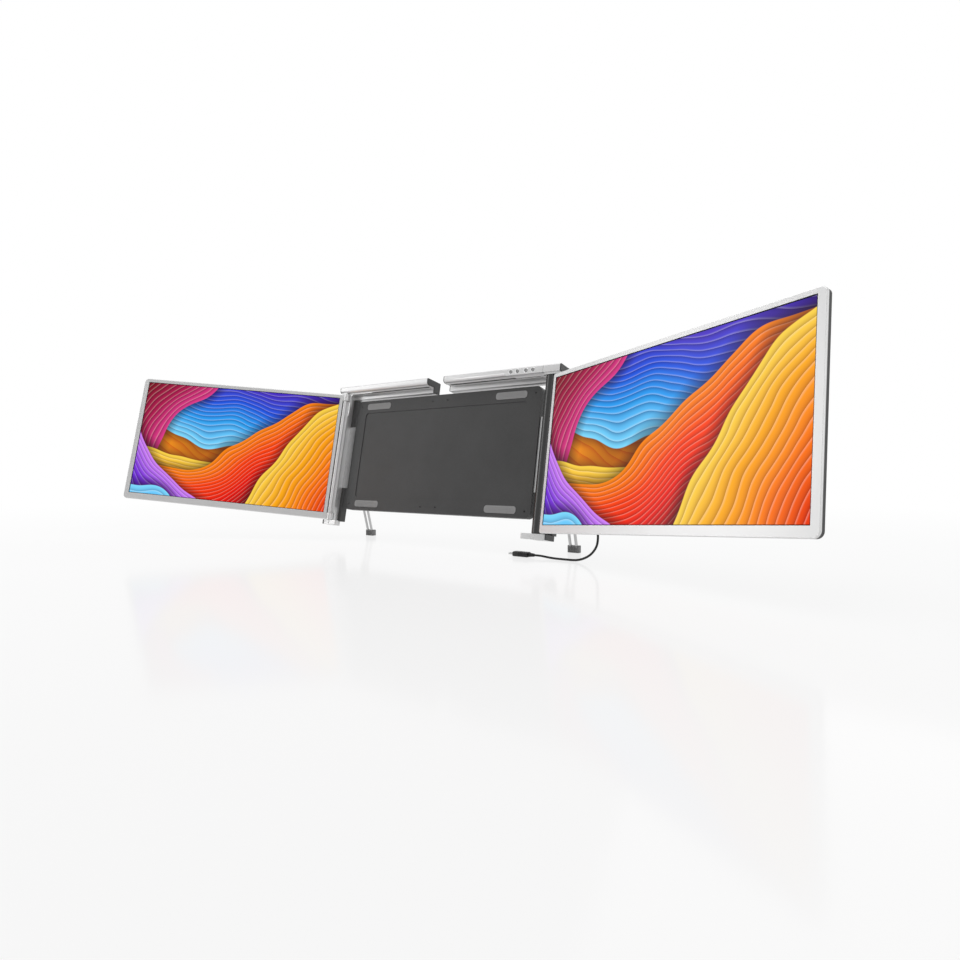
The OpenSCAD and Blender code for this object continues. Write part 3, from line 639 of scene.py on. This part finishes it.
picture = {
    "width": 0.332,
    "height": 0.1868,
    "glow": 1.0,
    "roughness": 0.12,
    "gloss": 0.1,
    "warp": 0.34,
    "warpScale": 1.5,
    "waverScale": 6.0,
    "ground": ("ff7a10", "ff9a1c", "ffc64a"),
    "groundScale": 1.1,
    "groundSpread": 1.5,
    "furrow": "d86a10",
    "furrows": (8.0, 18.0, 0.0),  # to the right and up, per height of the picture
    "furrowWaver": 0.35,
    "furrowSharp": 3.0,
    "furrowDepth": 0.55,
    "colourRun": 1.7,  # larger runs through a swell's colours sooner
    "ridgeWaver": 0.28,
    "ridgeSharp": 2.6,
    "crestSharp": 4.0,
    "valley": (0.10, 0.03, 0.13),
    "crest": "fff4e2",
    "crestLight": 0.22,
    "shade": "25030f",  # cast by a swell on what lies under it
    "shadeDepth": 0.7,
    "shadeReach": 12.0,  # larger is shorter
    "swellEdge": 240.0,  # larger is sharper
    "pictureEdge": 900.0,
    "border": 3,
    "swells": [  # direction in degrees, place, swing, waves, phase, ridges, depth, colours inward
        (-104, -0.66, 0.060, 3.4, 0.6, 24.0, 0.60, ("7fdcff", "2aa4f6", "2058e6", "4a30c8")),
        (-28, 0.02, 0.070, 4.2, 2.0, 22.0, 0.60, ("e03a8c", "b01550", "840a24", "500012")),
        (72, 0.50, 0.085, 3.1, 3.9, 26.0, 0.50, ("ffd84a", "ffab10", "ff8404", "f45000")),
        (112, 0.17, 0.100, 3.6, 1.1, 27.0, 0.55, ("ff8a08", "ff4200", "f01400", "9c0414")),
        (148, -0.92, 0.075, 4.4, 0.2, 22.0, 0.50, ("ffd84a", "ffab10", "ff7804", "ee3c02")),
        (48, 0.40, 0.070, 4.0, 5.0, 26.0, 0.60, ("d888ff", "7c34e0", "3c2cd8", "1c58f0")),
        (66, 0.07, 0.050, 5.0, 2.6, 20.0, 0.45, ("7fdcff", "38a4ff", "2368f0", "3a3ad0")),
    ],
}


def evenRamp(paint, value, codes):
    return paint.ramp(value, *[(i / (len(codes) - 1), hue(c)) for i, c in enumerate(codes)])


def pictureGround(paint, flat, spot, waver):
    broad = paint.noise(flat, picture["groundScale"], 1.0)
    spread = picture["groundSpread"]
    colour = evenRamp(paint, (broad * spread - (spread - 1) / 2).held(), picture["ground"])
    furrow = (paint.along(spot, picture["furrows"]) + waver * picture["furrowWaver"]).fraction()
    deep = furrow ** picture["furrowSharp"] * picture["furrowDepth"]
    return paint.mix(deep, colour, hue(picture["furrow"]), "MULTIPLY")


def pictureSwell(paint, colour, spot, waver, swell):
    degrees, place, swing, waves, phase, ridges, depth, codes = swell
    turn = math.radians(degrees)
    over = paint.along(spot, (math.cos(turn), math.sin(turn), 0.0))
    beside = paint.along(spot, (-math.sin(turn), math.cos(turn), 0.0))
    inward = (beside * waves + phase).sine() * swing + place - over
    own = evenRamp(paint, (inward * picture["colourRun"]).held(), codes)
    ridge = (inward * ridges + waver * picture["ridgeWaver"]).fraction()
    own = paint.mix(ridge ** picture["ridgeSharp"] * depth, own, picture["valley"], "MULTIPLY")
    crest = (1.0 - ridge * picture["crestSharp"]).held() * picture["crestLight"]
    own = paint.mix(crest, own, hue(picture["crest"]))
    shade = (1.0 + inward * picture["shadeReach"]).held() * picture["shadeDepth"]
    colour = paint.mix(shade, colour, hue(picture["shade"]))
    return paint.mix((inward * picture["swellEdge"]).held(), colour, own)


def pictureLook(side):
    paint = Paint(side + "Picture", {
        "Base Color": grey(6), "Roughness": picture["roughness"], "Specular IOR Level": picture["gloss"]})
    axes = screens[side]
    low, high = reach(side + "_glass", axes)
    across, up = axes.col[0].xyz, axes.col[2].xyz
    width, height = picture["width"], picture["height"]
    place = paint.place()
    x = (paint.along(place, across) - ((low.x + high.x) / 2 - width / 2)) / height
    y = (paint.along(place, up) - ((low.z + high.z) / 2 - height / 2)) / height
    flat = paint.add("CombineXYZ", None, {0: x, 1: y})
    warp = picture["warp"]
    drift = paint.add("TexNoise", None, {
        "Vector": flat, "Scale": picture["warpScale"], "Detail": 1.0}, out="Color")
    drift = paint.add("VectorMath", {"operation": "MULTIPLY_ADD"},
                      {0: drift, 1: (warp,) * 3, 2: (-warp / 2,) * 3})
    spot = paint.add("VectorMath", {"operation": "ADD"}, {0: flat, 1: drift})
    waver = paint.noise(flat, picture["waverScale"], 1.0)
    colour = pictureGround(paint, flat, spot, waver)
    for swell in picture["swells"]:
        colour = pictureSwell(paint, colour, spot, waver, swell)
    ratio, edge = width / height, picture["pictureEdge"]
    inPicture = (((ratio / 2 - abs(x - ratio / 2)) * edge).held()
                 * ((0.5 - abs(y - 0.5)) * edge).held())
    paint.set("Emission Color", paint.mix(inPicture, grey(picture["border"]), colour))
    paint.set("Emission Strength", picture["glow"])
    return paint.material


for side in ("left", "right"):
    look = pictureLook(side)
    for slot in nodes[side + "_glass"].material_slots:
        slot.material = look
print("pictures made")


# Pieces with softened edges stand in for the sharp ones.

softEdges = {  # rounding in millimetres
    "left_top_bar": 0.35, "right_top_bar": 0.35, "right_end_block": 0.35, "left_side_rail": 0.3,
    "left_bar_caps": 0.35, "right_bar_caps": 0.35, "left_clip_cap": 0.3, "right_clip_cap": 0.3,
    "left_bottom_clip": 0.45, "right_bottom_clip": 0.45, "left_knuckles": 0.3,
    "left_front_frame": 0.15, "right_front_frame": 0.15, "left_rear_shell": 0.3, "right_rear_shell": 0.3,
    "right_barrel": 0.4, "left_column": 0.35, "right_column": 0.35,
    "housing_plate": 0.3, "housing_shell": 0.3,
    "left_leg_bracket": 0.3, "right_leg_bracket": 0.3, "left_leg_sleeve": 0.35, "right_leg_sleeve": 0.35,
    "left_foot": 0.35, "right_foot": 0.35,
}
softening = {
    "segments": 2,
    "sharpFrom": 35,  # degrees
    "flatWithin": 0.5,  # degrees
    "weld": 2e-6,  # metres
}
slotOf = {entry["node"]: entry["material_slot"] for entry in record["subparts"]}
bodyOf = {node: body for body, members in record["behaviour"]["bodies"].items() for node in members}


def welded(name):  # a node's mesh, with its doubled points joined
    shape = bmesh.new()
    shape.from_mesh(nodes[name].data)
    bmesh.ops.remove_doubles(shape, verts=shape.verts, dist=softening["weld"])
    return shape


def softened(name, rounding):
    shape = welded(name)
    flat = math.radians(softening["flatWithin"])
    bmesh.ops.dissolve_limit(shape, angle_limit=flat, verts=shape.verts, edges=shape.edges)
    piece = addPiece(name + "_soft", shape, bodyOf[name], slotOf[name], stands=[name])
    edge = piece.modifiers.new("edge", "BEVEL")
    edge.width = rounding * mm
    edge.segments = softening["segments"]
    edge.limit_method = "ANGLE"
    edge.angle_limit = math.radians(softening["sharpFrom"])
    edge.harden_normals = True
    if slotOf[name] == "silver_frame":
        piece.data.materials.append(looks["cut_edge"])
        edge.material = 1


for name, rounding in softEdges.items():
    softened(name, rounding)
print("edges softened:", len(softEdges))

seam = {"width": 0.34}  # millimetres


def endSeam():  # thin black slice at the joint between the right bar and its end block, painted shade of the narrow gap there
    shape = welded("right_end_block")
    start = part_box("right_end_block")[0][0]
    cut = bmesh.ops.bisect_plane(
        shape, geom=shape.verts[:] + shape.edges[:] + shape.faces[:],
        plane_co=(start + seam["width"] * mm, 0, 0), plane_no=(1, 0, 0), clear_outer=True)
    edges = [e for e in cut["geom_cut"] if isinstance(e, bmesh.types.BMEdge)]
    bmesh.ops.holes_fill(shape, edges=edges)
    # satin black finish on the slice: painted shade of the seam's gap, not a dark part of the real joint
    addPiece("end_seam_shade", shape, bodyOf["right_end_block"], "dark_metal", "barrel")


endSeam()
print("seam made")

button = {  # millimetres, heights from the cap's front
    "radius": 2.4,
    "dish": 0.3,
    "flange": 2.8,
    "flangeAt": 2.52,
    "flangeThick": 0.5,
    "stem": 0.8,
    "rimIn": 2.62,
    "rimOut": 3.25,
    "rimHigh": 0.22,
}


def buildButton(name):  # dished cap with its flange and stem
    low, high = reach(name, lid)
    deep = (high.y - low.y) / mm
    back = Vector(((low.x + high.x) / 2, high.y, (low.z + high.z) / 2))
    axes = lid @ outward(back, (0, -1, 0)) @ inMillimetres
    r, flange, stem, dish = button["radius"], button["flange"], button["stem"], button["dish"]
    flangeTop = deep - button["flangeAt"]
    flangeLow = flangeTop - button["flangeThick"]
    shape = bmesh.new()
    turned(shape, axes, [
        (stem, 0.0), (stem, flangeLow), (flange, flangeLow), (flange, flangeTop),
        (r, flangeTop), (r, deep - 0.4), (r - 0.1, deep - 0.14), (r - 0.36, deep),
        (r - 0.62, deep - 0.06), (r - 1.1, deep - dish * 0.7), (0.5, deep - dish)])
    addPiece(name + "_cap", shape, bodyOf[name], "button", stands=[name])


def buildRims(names):
    front = reach("right_top_bar", lid)[0].y
    inner, outer, rise = button["rimIn"], button["rimOut"], button["rimHigh"]
    shape = bmesh.new()
    for name in names:
        low, high = reach(name, lid)
        spot = Vector(((low.x + high.x) / 2, front, (low.z + high.z) / 2))
        turned(shape, lid @ outward(spot, (0, -1, 0)) @ inMillimetres, [
            (inner, -0.2), (inner, rise * 0.7), (inner + 0.12, rise), (outer - 0.2, rise * 0.8),
            (outer, 0.02), (outer - 0.1, -0.2)], loop=True)
    addPiece("button_rims", shape, "right_clamp", "silver_bar", "cut_edge")


buttonNames = ["button_power", "button_menu", "button_minus", "button_plus"]
for name in buttonNames:
    buildButton(name)
buildRims(buttonNames)
print("buttons made")

screw = {
    "recess": 0.6,  # its radius as a share of the head's
    "deep": 0.55,  # likewise
    "dome": 0.8,
    "narrowing": 0.86,
    "sunk": 0.25,  # millimetres
    "steps": 48,
}


def addHead(shape, axes, radius, rise):  # pan head with a cross recess, z outwards
    recess = radius * screw["recess"]
    turned(shape, axes @ inMillimetres, [
        (radius, -screw["sunk"]), (radius, rise * 0.45), (radius * 0.93, rise * 0.8),
        (radius * screw["dome"], rise), (recess, rise * 1.02, crossForm),
        (recess * screw["narrowing"], rise * 1.02 - radius * screw["deep"], crossForm)], screw["steps"])


longScrew = {"head": 2.7, "headThick": 1.6, "shaft": 1.25, "middle": 14.0, "recess": 1.1}  # millimetres


def housingScrews():  # they hold the shell to the plate
    low, high = reach("housing_screws", lid)
    head, middle, shaft = longScrew["head"], longScrew["middle"], longScrew["shaft"]
    outer = high.x / mm - head
    length = (high.y - low.y) / mm
    under = length - longScrew["headThick"]
    shape = bmesh.new()
    for x in (-outer, -middle, middle, outer):
        for z in (low.z + head * mm, high.z - head * mm):
            turned(shape, lid @ outward(Vector((x * mm, low.y, z)), (0, 1, 0)) @ inMillimetres, [
                (shaft - 0.3, 0.0), (shaft, 0.35), (shaft, under), (head, under), (head, length - 0.4),
                (head - 0.35, length), (head * 0.6, length, crossForm),
                (head * 0.52, length - longScrew["recess"], crossForm)], screw["steps"])
    addPiece("housing_screws_cut", shape, "housing", "steel", "black_screw", stands=["housing_screws"])


shellScrew = {"head": 1.9, "rise": 0.24, "inset": 11.0}  # millimetres


def shellScrews(side):  # low heads on the back of a screen
    low, high = reach(side + "_rear_shell", screens[side])
    inset = shellScrew["inset"] * mm
    shape = bmesh.new()
    for x in (low.x + inset, (low.x + high.x) / 2, high.x - inset):
        for z in (low.z + inset, high.z - inset):
            axes = screens[side] @ outward(Vector((x, high.y, z)), (0, 1, 0))
            addHead(shape, axes, shellScrew["head"], shellScrew["rise"])
    addPiece(side + "_shell_screws", shape, side + "_screen", "steel", "black_screw")


columnScrew = {"head": 2.2, "rise": 0.7, "inset": 9.0, "places": (0.27, 0.73)}  # places: across the column


def columnScrews(side):  # through the column into the bar and the clip
    low, high = reach(side + "_column", lid)
    inset = columnScrew["inset"] * mm
    shape = bmesh.new()
    for z in (low.z + inset, high.z - inset):
        for share in columnScrew["places"]:
            spot = Vector((low.x + (high.x - low.x) * share, high.y, z))
            addHead(shape, lid @ outward(spot, (0, 1, 0)), columnScrew["head"], columnScrew["rise"])
    addPiece(side + "_column_screws", shape, side + "_clamp", "steel", "black_screw")


housingScrews()
for side in ("left", "right"):
    shellScrews(side)
    columnScrews(side)
print("screws made")

washer = {  # millimetres
    "bore": 2.1,
    "low": 0.05,
    "high": 0.34,
    "bulge": 0.1,
    "radius": {"left": 4.2, "right": 6.4},
    "turnsWith": {"left": "left_knuckles", "right": "right_barrel"},
}


def hingeWashers(side):
    low, high = reach(washer["turnsWith"][side], lid)
    spot = lid.inverted() @ Vector(joints[side + "_screen_hinge"]["pos_m"])
    bore, outer, under, top = washer["bore"], washer["radius"][side], washer["low"], washer["high"]
    shape = bmesh.new()
    for z, way in ((high.z, 1), (low.z, -1)):
        turned(shape, lid @ outward(Vector((spot.x, spot.y, z)), (0, 0, way)) @ inMillimetres, [
            (bore, under), (outer, under), (outer + washer["bulge"], 0.2), (outer, top), (bore, top)],
            loop=True)
    addPiece(side + "_hinge_washers", shape, side + "_clamp", "steel")


rivet = [(2.5, -0.05), (2.5, 0.25), (2.2, 0.5), (1.5, 0.75), (0.5, 0.85)]  # radius and height, millimetres


def legRivets(side):  # rounded ends of the leg's pin
    low, high = reach(side + "_leg_pin", lid)
    shape = bmesh.new()
    for x, way in ((low.x, -1), (high.x, 1)):
        spot = Vector((x, (low.y + high.y) / 2, (low.z + high.z) / 2))
        turned(shape, lid @ outward(spot, (way, 0, 0)) @ inMillimetres, rivet)
    addPiece(side + "_leg_rivets", shape, side + "_clamp", "steel")


collar = {"room": 0.08, "radius": 3.2, "high": 1.5, "edge": 0.2, "inside": 0.3}  # millimetres


def rodCollars(side):  # plastic rings that guide the rods out of the sleeve
    axis = -upright(joints[side + "_foot_slide"]["axis"])
    across = Vector((1, 0, 0))
    axes = Matrix([across, axis.cross(across), axis]).transposed().to_4x4()
    sleeveEnd = reach(side + "_leg_sleeve", axes)[1].z
    low, high = reach(side + "_leg_rods", axes)
    rod = (high.y - low.y) / 2
    inner, outer, edge = rod / mm + collar["room"], collar["radius"], collar["edge"]
    shape = bmesh.new()
    for x in (low.x + rod, high.x - rod):
        spot = Vector((x, (low.y + high.y) / 2, sleeveEnd))
        turned(shape, axes @ Matrix.Translation(spot) @ inMillimetres, [
            (inner, -collar["inside"]), (inner, collar["high"]), (inner + 0.25, 1.8), (outer - edge, 1.6),
            (outer, 1.2), (outer, -collar["inside"])], loop=True)
    addPiece(side + "_rod_collars", shape, side + "_leg", "lead_black")


for side in ("left", "right"):
    hingeWashers(side)
    legRivets(side)
    rodCollars(side)
print("small steel made")

pads = {  # millimetres
    "width": 50.0,
    "tall": 10.0,
    "corner": 4.0,
    "base": 0.65,
    "edge": 0.2,
    "ribs": 4,
    "ribHigh": 1.3,
    "ribInset": 3.0,
    "outerRibInset": 1.2,
}


def padTurn(axes):  # turns the axes about z until x runs along the lid's width
    side = axes.to_3x3().inverted() @ Vector((1, 0, 0))
    return math.atan2(side.y, side.x)


def addPad(shape, axes, top):  # a flat base with ribs along it
    width, tall, corner = pads["width"], pads["tall"], pads["corner"]
    base, edge, ribs = pads["base"], pads["edge"], pads["ribs"]
    lofted(shape, axes, [
        (0.0, width / 2, tall / 2, corner), (base - edge, width / 2, tall / 2, corner),
        (base, width / 2 - edge, tall / 2 - edge, corner - edge)], 10)
    for k in range(ribs):
        across = (k - (ribs - 1) / 2) * (tall - 2) / ribs
        inset = pads["ribInset"] + (pads["outerRibInset"] if k in (0, ribs - 1) else 0)
        long, thin = width / 2 - inset, pads["ribHigh"] / 2
        lofted(shape, axes @ Matrix.Translation((0, across, 0)), [
            (base - 0.1, long, thin, thin - 0.02), (top - 0.1, long - 0.05, thin - 0.05, thin - 0.08),
            (top, long - 0.2, thin - 0.2, thin - 0.22)], 5)


def restPads():
    low, high = reach("rest_pads", lid)
    half = pads["tall"] / 2
    shape = bmesh.new()
    for way in (-1, 1):
        for z in (low.z / mm + half, high.z / mm - half):
            middle = Vector((way * (high.x - pads["width"] / 2 * mm), high.y, z * mm))
            axes = lid @ outward(middle, (0, -1, 0)) @ inMillimetres
            addPad(shape, axes @ Matrix.Rotation(padTurn(axes), 4, "Z"), (high.y - low.y) / mm)
    addPiece("rest_pads_ribbed", shape, "housing", "rubber", stands=["rest_pads"])


strip = {  # millimetres
    "thick": 0.3,
    "wide": 5.4,
    "corner": 1.2,
    "edge": 0.1,
    "forward": 4.0,  # of the lid's back
    "innerGap": 5.0,
    "outerGap": 10.0,
}


def slotStrips(side):  # thin silicone where the lid's edge meets the bar
    low, high = reach(side + "_top_bar", lid)
    barIn, barOut = sorted((abs(low.x), abs(high.x)))
    if side == "left":
        barOut = abs(reach("left_side_rail", lid)[1].x)
    inner, outer = barIn / mm + strip["innerGap"], barOut / mm - strip["outerGap"]
    middle = (inner + outer) / 2 * (1 if side == "right" else -1)
    long, half = (outer - inner) / 2, strip["wide"] / 2
    thick, corner, edge = strip["thick"], strip["corner"], strip["edge"]
    axes = lid @ Matrix.Translation((middle * mm, -strip["forward"] * mm, 0)) @ inMillimetres
    shape = bmesh.new()
    lofted(shape, axes, [(0.02, long, half, corner), (edge - thick, long, half, corner),
                         (-thick, long - edge, half - edge, corner - edge)])
    addPiece(side + "_slot_strip", shape, side + "_clamp", "rubber", "lead_black")


restPads()
for side in ("left", "right"):
    slotStrips(side)
print("pads made")

stage = {
    "floorZ": -0.2346,
    "under": 0.0002,  # room under the lowest point
    "size": 16.0,
    "tone": 0.85,
    "roughness": 0.12,
    "lift": 0.76,
    "fadeFrom": 0.75,  # metres from the middle of the part
    "fadeOver": 0.9,
    "ambient": 0.5,
    "front": 0.66,  # brightness of the room in front of the part, in reflections
    "frontTurn": 1.6,  # larger is a narrower change to the front
    "frontEdge": 0.2,
}
white = (1.0, 1.0, 1.0)

floorMesh = bpy.data.meshes.new("floor")
half = stage["size"] / 2
corners = [(-half, -half, 0), (half, -half, 0), (half, half, 0), (-half, half, 0)]
floorMesh.from_pydata(corners, [], [(0, 1, 2, 3)])
floor = bpy.data.objects.new("floor", floorMesh)
floor.location.z = stage["floorZ"] - stage["under"]
scene.collection.objects.link(floor)


def pathRays(paint):  # camera, glossy and transmission rays
    path = paint.tree.nodes.new("ShaderNodeLightPath")
    rays = ("Is Camera Ray", "Is Glossy Ray", "Is Transmission Ray")
    return [Wire(paint, path.outputs[name]) for name in rays]


def floorLook():  # lit near the part, plain white further out
    paint = Paint("paleFloor", {"Base Color": (stage["tone"],) * 3, "Roughness": stage["roughness"],
                                "Specular IOR Level": 0.5})
    glow = paint.add("Emission", None, {"Color": white, "Strength": 1.0})
    distance = paint.add("VectorMath", {"operation": "LENGTH"}, {0: paint.place()}, out="Value")
    fade = ((distance - stage["fadeFrom"]) / stage["fadeOver"]).held()
    lift = fade * (1.0 - stage["lift"]) + stage["lift"]
    direct, glossy, through = pathRays(paint)
    seen = direct.most(glossy).most(through)
    surface = Wire(paint, paint.shader.outputs[0])
    blend = paint.add("MixShader", None, {0: seen * lift, 1: surface, 2: glow})
    paint.feed(paint.tree.nodes["Material Output"].inputs["Surface"], blend)
    return paint.material


floorMesh.materials.append(floorLook())


class Sky(Paint):  # the world's node tree, worked in the same way
    def __init__(self, tree):
        self.tree = tree


world = bpy.data.worlds.new("studio")
world.use_nodes = True
scene.world = world
sky = Sky(world.node_tree)
backing = sky.tree.nodes["Background"]
direct, glossy, through = pathRays(sky)
heading = sky.add("TexCoord", out="Generated")
ahead = (sky.along(heading, (0.0, -stage["frontTurn"], 0.0)) + stage["frontEdge"]).held()
mirrored = 1.0 - ahead * (1.0 - stage["front"])
strength = stage["ambient"] + through * (1.0 - stage["ambient"])
sky.feed(backing.inputs["Color"], white)
sky.feed(backing.inputs["Strength"], strength.most(glossy * mirrored).most(direct))

lamps = [  # name, place, aim, width, height, watts
    ("topLamp", (-0.1, -0.4, 1.8), (0.0, 0.0, -0.1), 1.8, 1.8, 11.0),
    ("stripLamp", (-1.81, -1.29, 0.56), (0.187, -0.03, -0.1), 0.7, 1.7, 8.0),
    ("sideLamp", (1.7, -1.3, 0.7), (0.1, 0.0, -0.1), 1.0, 1.0, 3.0),
    ("backLamp", (0.2, 1.8, 1.2), (0.0, 0.0, -0.1), 1.4, 1.4, 7.0),
]
for name, place, aim, width, height, watts in lamps:
    light = bpy.data.lights.new(name, "AREA")
    light.shape = "RECTANGLE"
    light.size = width
    light.size_y = height
    light.energy = watts
    lamp = bpy.data.objects.new(name, light)
    lamp.location = place
    lamp.rotation_euler = (Vector(aim) - Vector(place)).to_track_quat("-Z", "Y").to_euler()
    scene.collection.objects.link(lamp)
scene.view_settings.view_transform = "Standard"
print("light set")

bpy.context.view_layer.update()
